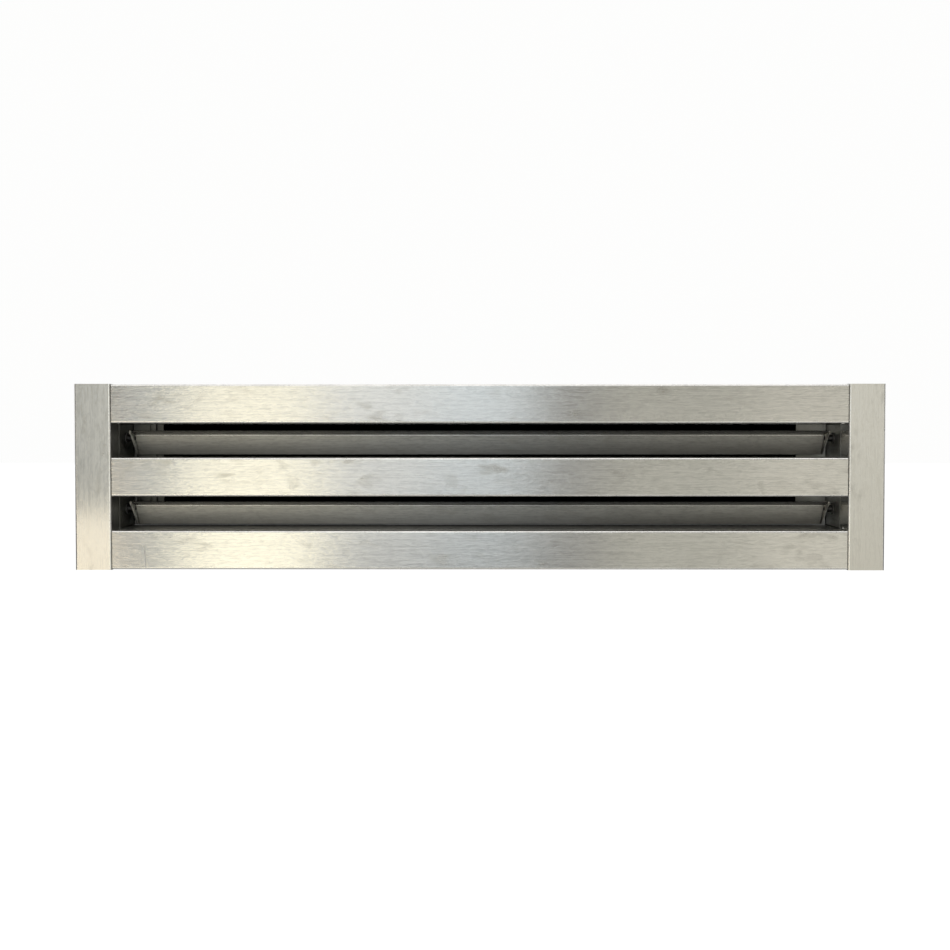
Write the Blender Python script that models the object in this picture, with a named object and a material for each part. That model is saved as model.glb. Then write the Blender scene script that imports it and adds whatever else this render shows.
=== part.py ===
"""Louvred air grille in brushed stainless steel: a welded tube frame, a sheet sleeve and two linked blades.

The origin is the centre of the wall opening, on the plane where the frame's back rests on the wall.
+X runs to the right seen from the front, +Y goes into the wall and +Z is up.
"""

import math

import bmesh
import bpy
from mathutils import Matrix, Vector

MM = 0.001

# Frame of square-edged tube
BAR_HEIGHT = 25.0 * MM
BAR_GAP = 22.0 * MM
BAR_NAMES = ("top_bar", "middle_bar", "bottom_bar")
POST_WIDTH = 23.5 * MM
TUBE_DEPTH = 20.0 * MM
TUBE_WALL = 1.5 * MM
TUBE_CORNER_RADIUS = 1.3 * MM
CLEAR_WIDTH = 473.0 * MM
POST_OVERSHOOT = 0.3 * MM
CAP_THICKNESS = 1.5 * MM

# Sleeve that reaches into the wall
SHEET = 1.2 * MM
SHEET_BEND_RADIUS = 0.8 * MM
FLANGE_WIDTH = 20.5 * MM
SEAM_STRIP_WIDTH = 4.5 * MM
SEAM_STRIP_THICKNESS = 2.0 * MM
SEAM_STRIP_INSET = 4.3 * MM

# Blade section, at rest
LIP_LENGTH = 9.63 * MM
LIP_RISE = math.radians(10.3)
FACE_LENGTH = 16.7 * MM
FACE_FALL = math.radians(52.8)
FOLD_AHEAD_OF_AXIS = 1.3 * MM
FOLD_ABOVE_AXIS = 2.1 * MM
LIP_SETBACK = 5.7 * MM
BLADE_FLOOR_CLEARANCE = 1.2 * MM
BLADE_END_CLEARANCE = 5.0 * MM
END_PLATE = 1.2 * MM
END_PLATE_BOSS_RADIUS = 5.0 * MM

# Pivots in the sleeve's sides
PIVOT_RADIUS = 1.6 * MM
PIVOT_SPIGOT_RADIUS = 1.4 * MM
PIVOT_SHOULDER_RADIUS = 2.2 * MM
PIVOT_HEAD_RADIUS = 2.8 * MM
PIVOT_HEAD_LENGTH = 1.0 * MM
BUSH_WALL = 0.9 * MM
BUSH_FLANGE_RADIUS = 3.6 * MM
BUSH_FLANGE_LENGTH = 0.8 * MM
BUSH_STAND_OUT = 0.8 * MM

# Link that makes the blades turn together
LINK_BEHIND_AXIS = 12.85 * MM
LINK_BELOW_AXIS = 7.0 * MM
LINK_THICKNESS = 1.5 * MM
LINK_WIDTH = 5.0 * MM
LINK_SIDE_GAP = 0.4 * MM
LINK_REAR_CLEARANCE = 0.7 * MM
LINK_PIN_RADIUS = 1.2 * MM
LINK_PIN_HEAD_RADIUS = 1.9 * MM
LINK_PIN_HEAD_LENGTH = 0.7 * MM

# Clearances between pieces
SEAM_GAP = 0.3 * MM
RUNNING_GAP = 0.25 * MM

ROUND_STEPS = 24
CORNER_STEPS = 3
BEND_STEPS = 5
CUTTER_OVERRUN = 2.0 * MM

# Sizes that follow from the ones above
BAR_PITCH = BAR_HEIGHT + BAR_GAP
STACK_HEIGHT = (len(BAR_NAMES) - 1) * BAR_PITCH + BAR_HEIGHT
POST_HEIGHT = STACK_HEIGHT + 2 * POST_OVERSHOOT
OPENING_HEIGHT = STACK_HEIGHT - 2 * BAR_HEIGHT
BAR_LENGTH = CLEAR_WIDTH - 2 * SEAM_GAP
POST_X = (CLEAR_WIDTH + POST_WIDTH) / 2
SLEEVE_START = SEAM_GAP
FLOOR_Z = -OPENING_HEIGHT / 2

FACE_ALONG = Vector((0, math.cos(FACE_FALL), -math.sin(FACE_FALL)))
FACE_BACK = Vector((0, math.sin(FACE_FALL), math.cos(FACE_FALL)))
FOLD = Vector((0, -FOLD_AHEAD_OF_AXIS, FOLD_ABOVE_AXIS))
LIP_TIP = FOLD + LIP_LENGTH * Vector((0, -math.cos(LIP_RISE), math.sin(LIP_RISE)))
REAR_EDGE = FOLD + FACE_LENGTH * FACE_ALONG
REAR_EDGE_BACK = REAR_EDGE + SHEET * FACE_BACK
BLADE_SPAN = CLEAR_WIDTH - 2 * BLADE_END_CLEARANCE
BLADE_LENGTH = BLADE_SPAN - 2 * (END_PLATE + SEAM_GAP)

LINK_OFFSET = Vector((0, LINK_BEHIND_AXIS, -LINK_BELOW_AXIS))
LINK_X = -(BLADE_SPAN + LINK_THICKNESS) / 2 - LINK_SIDE_GAP

AXIS_Y = LIP_SETBACK - LIP_TIP.y
LOWER_AXIS_Z = FLOOR_Z + BLADE_FLOOR_CLEARANCE - REAR_EDGE.z
UPPER_AXIS_Z = LOWER_AXIS_Z + BAR_PITCH
LINK_REACH = AXIS_Y + LINK_OFFSET.length + LINK_WIDTH / 2
FLANGE_FRONT = LINK_REACH + LINK_REAR_CLEARANCE + SEAM_STRIP_THICKNESS + SEAM_GAP
SLEEVE_BACK = FLANGE_FRONT + SHEET

BORE_RADIUS = PIVOT_RADIUS + RUNNING_GAP
BUSH_RADIUS = BORE_RADIUS + BUSH_WALL


# ---------------------------------------------------------------- materials

def make_material(name, colour, roughness, metallic):
    material = bpy.data.materials.new(name)
    material.use_nodes = True
    shader = material.node_tree.nodes["Principled BSDF"]
    shader.inputs["Base Color"].default_value = (*colour, 1.0)
    shader.inputs["Roughness"].default_value = roughness
    shader.inputs["Metallic"].default_value = metallic
    return material


# ---------------------------------------------------------------- scene helpers

def clear_scene():
    for thing in list(bpy.data.objects):
        bpy.data.objects.remove(thing, do_unlink=True)


def add_datum(name, location, parent=None):
    """An empty on a body's joint axis. Its location is given in world coordinates."""
    datum = bpy.data.objects.new(name, None)
    bpy.context.collection.objects.link(datum)
    datum.location = Vector(location)
    if parent is not None:
        datum.parent = parent
        datum.location -= parent_position(parent)
    return datum


def parent_position(thing):
    position = Vector(thing.location)
    while thing.parent is not None:
        thing = thing.parent
        position += Vector(thing.location)
    return position


def add_piece(name, mesh, material, datum, location=(0, 0, 0), smooth=False):
    """One solid piece, placed by its location from its body's datum."""
    piece = bpy.data.objects.new(name, mesh)
    bpy.context.collection.objects.link(piece)
    piece.parent = datum
    piece.location = location
    if not mesh.materials:
        mesh.materials.append(material)
    if smooth:
        mesh.shade_smooth()
        mesh.set_sharp_from_angle(angle=math.radians(35))
    return piece


def cut(piece, cutter_mesh, name, location=(0, 0, 0)):
    """Takes a cutter's shape out of a piece. The cutter is placed from the piece's own origin."""
    cutter = bpy.data.objects.new(name, cutter_mesh)
    bpy.context.collection.objects.link(cutter)
    cutter.parent = piece
    cutter.location = location
    cutter.hide_render = True
    cutter.display_type = "WIRE"
    boolean = piece.modifiers.new(name, "BOOLEAN")
    boolean.operation = "DIFFERENCE"
    boolean.solver = "EXACT"
    boolean.object = cutter


# ---------------------------------------------------------------- mesh makers

def finish_mesh(name, bm):
    bmesh.ops.recalc_face_normals(bm, faces=bm.faces)
    mesh = bpy.data.meshes.new(name)
    bm.to_mesh(mesh)
    bm.free()
    return mesh


def arc(centre, radius, start, end, steps):
    """Points on an arc in a flat section, as (across, up), with angles in radians."""
    turn = [start + (end - start) * step / steps for step in range(steps + 1)]
    return [(centre[0] + radius * math.cos(a), centre[1] + radius * math.sin(a)) for a in turn]


def rounded_rectangle(width, height, radius):
    """Corner arcs of a rectangle about the origin, anticlockwise from its right top corner."""
    points = []
    corners = ((1, 1), (-1, 1), (-1, -1), (1, -1))
    for quarter, (side, level) in enumerate(corners):
        centre = (side * (width / 2 - radius), level * (height / 2 - radius))
        start = quarter * math.pi / 2
        points += arc(centre, radius, start, start + math.pi / 2, CORNER_STEPS)
    return points


def section_loop(bm, points):
    """A closed loop of edges in the XY plane."""
    verts = [bm.verts.new((x, y, 0)) for x, y in points]
    return [bm.edges.new((verts[i - 1], verts[i])) for i in range(len(verts))]


def raise_section(name, bm, faces, length, turn):
    """Extrudes a flat section along its normal, centres it and turns it to its place."""
    grown = bmesh.ops.extrude_face_region(bm, geom=faces)
    tops = [v for v in grown["geom"] if isinstance(v, bmesh.types.BMVert)]
    bmesh.ops.translate(bm, verts=tops, vec=(0, 0, length))
    bmesh.ops.translate(bm, verts=bm.verts, vec=(0, 0, -length / 2))
    bmesh.ops.transform(bm, matrix=turn, verts=bm.verts)
    return finish_mesh(name, bm)


# A section drawn as (x, y) stands along Z as it is, and these turns lay its length along X.
# ALONG_X reads a section's points as (y, z).
UPRIGHT = Matrix.Identity(4)
ALONG_X = Matrix(((0, 0, 1, 0), (1, 0, 0, 0), (0, 1, 0, 0), (0, 0, 0, 1)))


def solid_mesh(name, points, length, turn):
    bm = bmesh.new()
    face = bm.faces.new([bm.verts.new((x, y, 0)) for x, y in points])
    return raise_section(name, bm, [face], length, turn)


def tube_mesh(name, width, height, length, turn):
    """A rectangular tube with rounded corners, open at both ends."""
    bm = bmesh.new()
    outer = section_loop(bm, rounded_rectangle(width, height, TUBE_CORNER_RADIUS))
    bore_radius = max(TUBE_CORNER_RADIUS - TUBE_WALL, 0.2 * TUBE_WALL)
    inner = section_loop(bm, rounded_rectangle(width - 2 * TUBE_WALL, height - 2 * TUBE_WALL, bore_radius))
    ring = bmesh.ops.bridge_loops(bm, edges=outer + inner)
    return raise_section(name, bm, ring["faces"], length, turn)


def folded_section(start, corner, end):
    """A sheet folded once. Its inner side runs start, corner, end, and it thickens away from the fold."""
    start, corner, end = Vector(start), Vector(corner), Vector(end)
    first = (corner - start).normalized()
    second = (end - corner).normalized()
    turn = math.atan2(first.x * second.y - first.y * second.x, first.dot(second))
    side = math.copysign(1, turn)
    first_out = side * Vector((first.y, -first.x))
    second_out = side * Vector((second.y, -second.x))
    bend_start = corner - first * SHEET_BEND_RADIUS * math.tan(abs(turn) / 2)
    centre = bend_start - first_out * SHEET_BEND_RADIUS
    angle = math.atan2(first_out.y, first_out.x)
    inner = arc(centre, SHEET_BEND_RADIUS, angle, angle + turn, BEND_STEPS)
    outer = arc(centre, SHEET_BEND_RADIUS + SHEET, angle, angle + turn, BEND_STEPS)
    ends = [tuple(end), tuple(end + SHEET * second_out)]
    return [tuple(start), *inner, *ends, *reversed(outer), tuple(start + SHEET * first_out)]


def slab_mesh(name, size):
    """A flat block about its centre."""
    bm = bmesh.new()
    bmesh.ops.create_cube(bm, size=1)
    bmesh.ops.scale(bm, vec=size, verts=bm.verts)
    return finish_mesh(name, bm)


def drill_mesh(name, radius, length):
    """A round cutter along X about its centre."""
    half = length / 2
    return turned_mesh(name, [(-half, 0), (-half, radius), (half, radius), (half, 0)])


def turned_mesh(name, profile, closed=False):
    """Turns a profile of (x, radius) points about the X axis. A closed profile makes a ring."""
    bm = bmesh.new()
    verts = [bm.verts.new((x, radius, 0)) for x, radius in profile]
    edges = [bm.edges.new(pair) for pair in zip(verts, verts[1:])]
    if closed:
        edges.append(bm.edges.new((verts[-1], verts[0])))
    bmesh.ops.spin(
        bm, geom=verts + edges, cent=(0, 0, 0), axis=(1, 0, 0), angle=2 * math.pi, steps=ROUND_STEPS, use_merge=True
    )
    bmesh.ops.remove_doubles(bm, verts=bm.verts, dist=1e-7)
    return finish_mesh(name, bm)


# ---------------------------------------------------------------- frame

def build_frame(datum, steel):
    """Three bars butted between two posts, whose ends are closed by caps set inside them."""
    bar = tube_mesh("bar", TUBE_DEPTH, BAR_HEIGHT, BAR_LENGTH, ALONG_X)
    for row, name in enumerate(BAR_NAMES):
        height = (STACK_HEIGHT - BAR_HEIGHT) / 2 - row * BAR_PITCH
        add_piece(name, bar, steel, datum, (0, -TUBE_DEPTH / 2, height), smooth=True)

    post = tube_mesh("post", POST_WIDTH, TUBE_DEPTH, POST_HEIGHT, UPRIGHT)
    set_in = 2 * (TUBE_WALL + SEAM_GAP)
    cap = slab_mesh("post_cap", (POST_WIDTH - set_in, TUBE_DEPTH - set_in, CAP_THICKNESS))
    cap_height = (POST_HEIGHT - CAP_THICKNESS) / 2
    for side, x in (("left", -POST_X), ("right", POST_X)):
        add_piece(f"{side}_post", post, steel, datum, (x, -TUBE_DEPTH / 2, 0), smooth=True)
        for end, z in (("top", cap_height), ("bottom", -cap_height)):
            add_piece(f"{side}_post_{end}_cap", cap, steel, datum, (x, -TUBE_DEPTH / 2, z))


# ---------------------------------------------------------------- sleeve

def build_sleeve(datum, steel):
    """Sheet box behind the frame: flat top and bottom, and sides whose rear edges turn inwards."""
    depth = SLEEVE_BACK - SLEEVE_START
    plate = slab_mesh("sleeve_plate", (CLEAR_WIDTH + 2 * SHEET, depth, SHEET))
    middle = (SLEEVE_START + SLEEVE_BACK) / 2
    plate_z = (OPENING_HEIGHT + SHEET) / 2
    add_piece("sleeve_top", plate, steel, datum, (0, middle, plate_z))
    add_piece("sleeve_bottom", plate, steel, datum, (0, middle, -plate_z))

    wall = CLEAR_WIDTH / 2
    side_height = OPENING_HEIGHT - 2 * SEAM_GAP
    bore = drill_mesh("bush_hole", BUSH_RADIUS + RUNNING_GAP, SHEET + 2 * CUTTER_OVERRUN)
    for name, side in (("sleeve_left_side", -1), ("sleeve_right_side", 1)):
        section = folded_section(
            (side * wall, SLEEVE_START),
            (side * wall, FLANGE_FRONT),
            (side * (wall - FLANGE_WIDTH), FLANGE_FRONT),
        )
        mesh = solid_mesh(name, section, side_height, UPRIGHT)
        piece = add_piece(name, mesh, steel, datum, smooth=True)
        for level, z in (("upper", UPPER_AXIS_Z), ("lower", LOWER_AXIS_Z)):
            hole_at = (side * (wall + SHEET / 2), AXIS_Y, z)
            cut(piece, bore, f"{name}_{level}_hole", hole_at)

    strip = solid_mesh(
        "seam_strip",
        rounded_rectangle(SEAM_STRIP_WIDTH, SEAM_STRIP_THICKNESS, SEAM_STRIP_THICKNESS / 2 - SEAM_GAP),
        side_height,
        UPRIGHT,
    )
    strip_x = -(wall - FLANGE_WIDTH + SEAM_STRIP_INSET + SEAM_STRIP_WIDTH / 2)
    strip_y = FLANGE_FRONT - SEAM_GAP - SEAM_STRIP_THICKNESS / 2
    add_piece("sleeve_seam_strip", strip, steel, datum, (strip_x, strip_y, 0), smooth=True)


def build_bushes(datum, nylon):
    """Flanged bushes, pushed into the sleeve's sides from the inside."""
    inside = -SEAM_GAP - BUSH_FLANGE_LENGTH
    outside = SHEET + BUSH_STAND_OUT
    profile = [
        (inside, BORE_RADIUS),
        (inside, BUSH_FLANGE_RADIUS),
        (-SEAM_GAP, BUSH_FLANGE_RADIUS),
        (-SEAM_GAP, BUSH_RADIUS),
        (outside, BUSH_RADIUS),
        (outside, BORE_RADIUS),
    ]
    for side, direction in (("left", -1), ("right", 1)):
        mesh = turned_mesh(f"{side}_bush", [(direction * x, r) for x, r in profile], closed=True)
        for level, z in (("upper", UPPER_AXIS_Z), ("lower", LOWER_AXIS_Z)):
            place = (direction * CLEAR_WIDTH / 2, AXIS_Y, z)
            add_piece(f"{level}_{side}_bush", mesh, nylon, datum, place, smooth=True)


# ---------------------------------------------------------------- blades

def section_point(vector):
    return (vector.y, vector.z)


def blade_mesh():
    section = folded_section(section_point(LIP_TIP), section_point(FOLD), section_point(REAR_EDGE))
    return solid_mesh("blade", section, BLADE_LENGTH, ALONG_X)


def end_plate_mesh(name, with_ear):
    """Closes a blade's end, widens into a boss round the pivot, and may reach back in an ear for the link's pin."""
    lip_back = LIP_TIP + SHEET * Vector((0, math.sin(LIP_RISE), math.cos(LIP_RISE)))
    top = math.atan2(lip_back.z, lip_back.y) - math.acos(END_PLATE_BOSS_RADIUS / lip_back.length)
    outline = [section_point(p) for p in (lip_back, LIP_TIP, REAR_EDGE)]
    if with_ear:
        ear_radius = LINK_WIDTH / 2
        back_to_edge = REAR_EDGE - LINK_OFFSET
        start = math.atan2(back_to_edge.z, back_to_edge.y) + math.acos(ear_radius / back_to_edge.length)
        low = math.atan2(LINK_OFFSET.z, LINK_OFFSET.y)
        low += math.acos((END_PLATE_BOSS_RADIUS - ear_radius) / LINK_OFFSET.length)
        outline += arc(section_point(LINK_OFFSET), ear_radius, start, low, 2 * BEND_STEPS)
    else:
        low = math.atan2(REAR_EDGE_BACK.z, REAR_EDGE_BACK.y)
        low += math.acos(END_PLATE_BOSS_RADIUS / REAR_EDGE_BACK.length)
        outline.append(section_point(REAR_EDGE_BACK))
    outline += arc((0, 0), END_PLATE_BOSS_RADIUS, low, top, 2 * BEND_STEPS)
    return solid_mesh(name, outline, END_PLATE, ALONG_X)


def pivot_pin_mesh(name, direction):
    """A shouldered pin, from the blade's end plate out through the bush to a head outside the sleeve."""
    plate_inside = -BLADE_END_CLEARANCE - END_PLATE
    shoulder_start = -BLADE_END_CLEARANCE + SEAM_GAP
    shoulder_end = -SEAM_GAP - BUSH_FLANGE_LENGTH - RUNNING_GAP
    head_start = SHEET + BUSH_STAND_OUT + RUNNING_GAP
    head_end = head_start + PIVOT_HEAD_LENGTH
    profile = [
        (plate_inside, 0),
        (plate_inside, PIVOT_SPIGOT_RADIUS),
        (shoulder_start, PIVOT_SPIGOT_RADIUS),
        (shoulder_start, PIVOT_SHOULDER_RADIUS),
        (shoulder_end, PIVOT_SHOULDER_RADIUS),
        (shoulder_end, PIVOT_RADIUS),
        (head_start, PIVOT_RADIUS),
        (head_start, PIVOT_HEAD_RADIUS),
        (head_end, PIVOT_HEAD_RADIUS),
        (head_end, 0),
    ]
    return turned_mesh(name, [(direction * x, r) for x, r in profile])


def link_pin_mesh():
    """A pin from inside the left end plate, out through the link bar to a head that keeps the bar on."""
    start = LINK_THICKNESS / 2 + LINK_SIDE_GAP + END_PLATE
    shank = -LINK_THICKNESS / 2 - RUNNING_GAP
    head = shank - LINK_PIN_HEAD_LENGTH
    profile = [
        (start, 0),
        (start, LINK_PIN_RADIUS),
        (shank, LINK_PIN_RADIUS),
        (shank, LINK_PIN_HEAD_RADIUS),
        (head, LINK_PIN_HEAD_RADIUS),
        (head, 0),
    ]
    return turned_mesh("link_pin", profile)


def build_blades(datums, steel, pin_steel):
    """Two alike blades, each on its own pivot axis, with end plates, pivot pins and a link pin."""
    blade, link_pin = blade_mesh(), link_pin_mesh()
    plates = {side: end_plate_mesh(f"{side}_end_plate", side == "left") for side in ("left", "right")}
    pivot_pins = {side: pivot_pin_mesh(f"{side}_pin", sign) for side, sign in (("left", -1), ("right", 1))}
    hole_length = END_PLATE + 2 * CUTTER_OVERRUN
    spigot_hole = drill_mesh("spigot_hole", PIVOT_SPIGOT_RADIUS + RUNNING_GAP, hole_length)
    pin_hole = drill_mesh("link_pin_hole", LINK_PIN_RADIUS + RUNNING_GAP, hole_length)

    for level, datum in datums.items():
        add_piece(f"{level}_blade", blade, steel, datum, smooth=True)
        for side, sign in (("left", -1), ("right", 1)):
            end_x = sign * (BLADE_SPAN - END_PLATE) / 2
            end = add_piece(f"{level}_blade_{side}_end", plates[side], steel, datum, (end_x, 0, 0))
            cut(end, spigot_hole, f"{level}_{side}_spigot_hole")
            if side == "left":
                cut(end, pin_hole, f"{level}_link_pin_hole", LINK_OFFSET)
            place = (sign * CLEAR_WIDTH / 2, 0, 0)
            add_piece(f"{level}_{side}_pivot_pin", pivot_pins[side], pin_steel, datum, place, smooth=True)
        place = Vector((LINK_X, 0, 0)) + LINK_OFFSET
        add_piece(f"{level}_link_pin", link_pin, pin_steel, datum, place, smooth=True)


# ---------------------------------------------------------------- link bar

def build_link(datum, steel):
    """A flat bar with round ends from the upper blade's link pin, where its datum is, to the lower blade's."""
    upper_end = arc((0, 0), LINK_WIDTH / 2, 0, math.pi, 2 * BEND_STEPS)
    lower_end = arc((0, -BAR_PITCH), LINK_WIDTH / 2, math.pi, 2 * math.pi, 2 * BEND_STEPS)
    bar = solid_mesh("link_bar", upper_end + lower_end, LINK_THICKNESS, ALONG_X)
    piece = add_piece("link_bar", bar, steel, datum, (LINK_X, 0, 0), smooth=True)
    hole = drill_mesh("link_hole", LINK_PIN_RADIUS + RUNNING_GAP, LINK_THICKNESS + 2 * CUTTER_OVERRUN)
    cut(piece, hole, "link_upper_hole")
    cut(piece, hole, "link_lower_hole", (0, 0, -BAR_PITCH))


def main():
    clear_scene()
    frame_steel = make_material("brushed_steel_frame", (0.62, 0.61, 0.58), 0.32, 1.0)
    sleeve_steel = make_material("steel_sheet", (0.45, 0.45, 0.43), 0.42, 1.0)
    blade_steel = make_material("brushed_steel_blade", (0.52, 0.51, 0.49), 0.36, 1.0)
    pin_steel = make_material("turned_steel", (0.55, 0.55, 0.55), 0.25, 1.0)
    nylon = make_material("black_nylon", (0.02, 0.02, 0.02), 0.5, 0.0)

    frame_datum = add_datum("frame_datum", (0, 0, 0))
    build_frame(frame_datum, frame_steel)
    build_sleeve(frame_datum, sleeve_steel)
    build_bushes(frame_datum, nylon)

    upper_axis = add_datum("upper_blade_axis", (0, AXIS_Y, UPPER_AXIS_Z), frame_datum)
    lower_axis = add_datum("lower_blade_axis", (0, AXIS_Y, LOWER_AXIS_Z), frame_datum)
    build_blades({"upper": upper_axis, "lower": lower_axis}, blade_steel, pin_steel)

    link_axis = add_datum("link_axis", Vector((0, AXIS_Y, UPPER_AXIS_Z)) + LINK_OFFSET, upper_axis)
    build_link(link_axis, blade_steel)
    bpy.context.view_layer.update()


main()
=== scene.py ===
"""Looks of a louvred air grille: brushed box-section frame, folded sleeve and two linked blades."""

import logging
import math
from dataclasses import dataclass, replace
from enum import Enum

import bmesh
import bpy
from mathutils import Matrix, Vector


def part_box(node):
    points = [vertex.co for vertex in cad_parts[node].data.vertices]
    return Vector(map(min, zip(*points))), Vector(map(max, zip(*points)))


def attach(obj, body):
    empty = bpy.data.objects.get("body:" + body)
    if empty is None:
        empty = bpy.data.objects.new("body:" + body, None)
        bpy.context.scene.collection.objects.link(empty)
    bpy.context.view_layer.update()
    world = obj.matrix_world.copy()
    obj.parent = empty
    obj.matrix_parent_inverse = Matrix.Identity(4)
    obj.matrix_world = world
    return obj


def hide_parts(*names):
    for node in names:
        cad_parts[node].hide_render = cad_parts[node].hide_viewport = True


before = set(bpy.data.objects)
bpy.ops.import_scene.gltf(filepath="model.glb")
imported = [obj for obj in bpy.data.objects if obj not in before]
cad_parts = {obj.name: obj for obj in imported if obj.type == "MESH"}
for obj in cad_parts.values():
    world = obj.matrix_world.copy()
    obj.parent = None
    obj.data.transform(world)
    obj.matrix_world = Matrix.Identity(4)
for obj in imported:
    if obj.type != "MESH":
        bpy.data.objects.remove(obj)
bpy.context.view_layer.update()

LOG = logging.getLogger("air_grille")
MM = 0.001
MERGE_DISTANCE = 0.002 * MM
FLAT_ANGLE = math.radians(0.6)
SHARP_ANGLE = math.radians(48)


class Grain(Enum):
    """The direction in which a sheet or tube was brushed."""

    ACROSS = "X"
    DEEP = "Y"
    UPRIGHT = "Z"


class Edge(Enum):
    """How a sharp edge was dressed: its width in millimetres and the steps that round it."""

    SAWN = (0.18, 2)
    DEBURRED = (0.3, 2)
    TURNED = (0.08, 1)


# ---------------------------------------------------------------- finishes


class Nodes:
    """A short way to build one material's node tree."""

    def __init__(self, name: str) -> None:
        """Starts an empty node material.

        Args:
            name: The material's name.
        """
        self.material = bpy.data.materials.new(name)
        self.material.use_nodes = True
        self.tree = self.material.node_tree
        self.tree.nodes.clear()
        output = self.tree.nodes.new("ShaderNodeOutputMaterial")
        self.shader = self.tree.nodes.new("ShaderNodeBsdfPrincipled")
        self.link(self.shader.outputs["BSDF"], output.inputs["Surface"])
        self.place = self.tree.nodes.new("ShaderNodeTexCoord").outputs["Object"]

    def link(self, source: bpy.types.NodeSocket, target: bpy.types.NodeSocket) -> None:
        """Joins two sockets."""
        self.tree.links.new(source, target)

    def put(self, value: object, socket: bpy.types.NodeSocket) -> None:
        """Sets a socket to a number or joins it to another socket.

        Args:
            value: A number, a colour or an output socket.
            socket: The input that takes it.
        """
        if isinstance(value, bpy.types.NodeSocket):
            self.link(value, socket)
        else:
            socket.default_value = value

    def noise(self, feature: tuple[float, float, float], detail: float, warp: float = 0.0,
              rough: float = 0.55) -> bpy.types.NodeSocket:
        """Adds a noise whose features have a chosen size on each axis.

        Args:
            feature: Feature size along X, Y and Z in millimetres.
            detail: Number of finer layers.
            warp: How far the pattern is distorted.
            rough: How strong the finer layers are.

        Returns:
            The noise's value, from 0 to 1.
        """
        mapping = self.tree.nodes.new("ShaderNodeMapping")
        mapping.inputs["Scale"].default_value = [1 / (size * MM) for size in feature]
        texture = self.tree.nodes.new("ShaderNodeTexNoise")
        texture.inputs["Scale"].default_value = 1.0
        texture.inputs["Detail"].default_value = detail
        texture.inputs["Roughness"].default_value = rough
        texture.inputs["Distortion"].default_value = warp
        self.link(self.place, mapping.inputs["Vector"])
        self.link(mapping.outputs["Vector"], texture.inputs["Vector"])
        return texture.outputs["Fac"]

    def math(self, operation: str, first: object, second: object = 0.0,
             clamp: bool = False) -> bpy.types.NodeSocket:
        """Adds a Math node.

        Args:
            operation: Blender's name for the operation.
            first: A number or a socket.
            second: A number or a socket.
            clamp: Whether the result stays within 0 and 1.

        Returns:
            The result.
        """
        node = self.tree.nodes.new("ShaderNodeMath")
        node.operation = operation
        node.use_clamp = clamp
        self.put(first, node.inputs[0])
        self.put(second, node.inputs[1])
        return node.outputs[0]

    def spread(self, value: bpy.types.NodeSocket, low: float, high: float,
               out_low: float = 0.0, out_high: float = 1.0) -> bpy.types.NodeSocket:
        """Maps one range of a value smoothly to another.

        Args:
            value: The socket to map.
            low: Where the range starts.
            high: Where it ends.
            out_low: The result at the start.
            out_high: The result at the end.

        Returns:
            The mapped value.
        """
        node = self.tree.nodes.new("ShaderNodeMapRange")
        node.interpolation_type = "SMOOTHSTEP"
        numbers = (low, high, out_low, out_high)
        for name, number in zip(("From Min", "From Max", "To Min", "To Max"), numbers):
            node.inputs[name].default_value = number
        self.link(value, node.inputs["Value"])
        return node.outputs["Result"]

    def mix(self, factor: bpy.types.NodeSocket, first: object, second: object) -> bpy.types.NodeSocket:
        """Mixes two colours.

        Args:
            factor: How much of the second colour shows.
            first: A colour or a socket.
            second: A colour or a socket.

        Returns:
            The mixed colour.
        """
        node = self.tree.nodes.new("ShaderNodeMix")
        node.data_type = "RGBA"
        self.link(factor, node.inputs["Factor"])
        for value, socket in ((first, node.inputs[6]), (second, node.inputs[7])):
            self.put((*value, 1.0) if isinstance(value, tuple) else value, socket)
        return node.outputs[2]

    def bump(self, height: bpy.types.NodeSocket, depth: float, strength: float) -> None:
        """Raises the shader's surface by a height.

        Args:
            height: The pattern to raise.
            depth: Its depth in millimetres.
            strength: How strongly it shows.
        """
        node = self.tree.nodes.new("ShaderNodeBump")
        node.inputs["Distance"].default_value = depth * MM
        node.inputs["Strength"].default_value = strength
        self.link(height, node.inputs["Height"])
        self.link(node.outputs["Normal"], self.shader.inputs["Normal"])


@dataclass(frozen=True)
class Scratch:
    """One curved scratch on an upright face, in metres."""

    x: float
    low: float
    high: float
    bow: float = 1.6 * MM
    width: float = 0.42 * MM

    def mask(self, nodes: Nodes) -> bpy.types.NodeSocket:
        """Draws the scratch.

        Args:
            nodes: The material's node tree.

        Returns:
            A mask that is 1 along the scratch.
        """
        split = nodes.tree.nodes.new("ShaderNodeSeparateXYZ")
        nodes.link(nodes.place, split.inputs[0])
        climb = nodes.math("SUBTRACT", split.outputs["Z"], self.low)
        along = nodes.math("DIVIDE", climb, self.high - self.low)
        curve = nodes.math("MULTIPLY", nodes.math("MULTIPLY", along, along), -self.bow)
        offset = nodes.math("SUBTRACT", split.outputs["X"], nodes.math("ADD", curve, self.x))
        line = nodes.spread(nodes.math("ABSOLUTE", offset), self.width / 3, self.width, 1.0, 0.0)
        start = nodes.spread(along, 0.0, 0.1)
        end = nodes.spread(along, 0.8, 1.0, 1.0, 0.0)
        return nodes.math("MULTIPLY", line, nodes.math("MULTIPLY", start, end))


@dataclass(frozen=True)
class DepthShade:
    """Painted shade that darkens a surface from front to back, deeper in the opening where less light reaches."""

    front: float
    back: float
    strength: float

    def mask(self, nodes: Nodes) -> bpy.types.NodeSocket:
        """Gives 0 at the front and the full strength at the back.

        Args:
            nodes: The material being built.

        Returns:
            The mask.
        """
        split = nodes.tree.nodes.new("ShaderNodeSeparateXYZ")
        nodes.link(nodes.place, split.inputs[0])
        return nodes.spread(split.outputs["Y"], self.front, self.back, 0.0, self.strength)


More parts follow.
